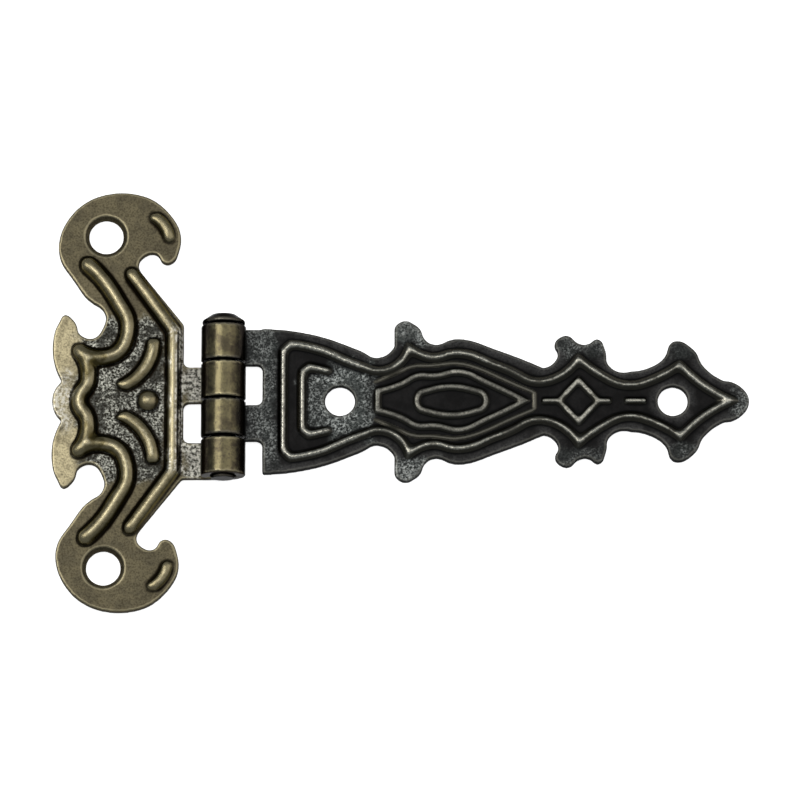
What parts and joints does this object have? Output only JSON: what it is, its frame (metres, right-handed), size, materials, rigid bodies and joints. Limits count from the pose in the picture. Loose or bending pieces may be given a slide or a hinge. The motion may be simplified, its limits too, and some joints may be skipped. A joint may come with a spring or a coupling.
{
  "type": "decorative strap hinge",
  "caption": "Flat decorative hinge of pressed antique brass: a scrolled plate, a long tapering strap with raised ornament, and a rolled barrel on a headed pin.",
  "frame": {"origin": "midway between the two holes of the plate, on the plane of the back faces", "axes": "+X along the strap, from the plate to the strap's end; +Y along the pin, towards its head; +Z out of the ornamented front"},
  "size_m": [0.0633, 0.039, 0.0041],
  "materials": {
    "plate_brass": "antique brass with dark patina in the recesses and rubbed ribs",
    "strap_brass": "antique brass, darkly blackened, with rubbed ridges",
    "pin_steel": "blackened, with rubbed edges"
  },
  "bodies": {
    "plate": {"plate_leaf": "plate_brass", "hinge_pin": "pin_steel"},
    "strap": {"strap_leaf": "strap_brass"}
  },
  "joints": [
    {"name": "strap_swing", "type": "hinge", "parent": "plate", "child": "strap", "pos_m": [0.0108, 0, 0.00205], "axis": [0, -1, 0], "range_deg": [0, 180]}
  ]
}
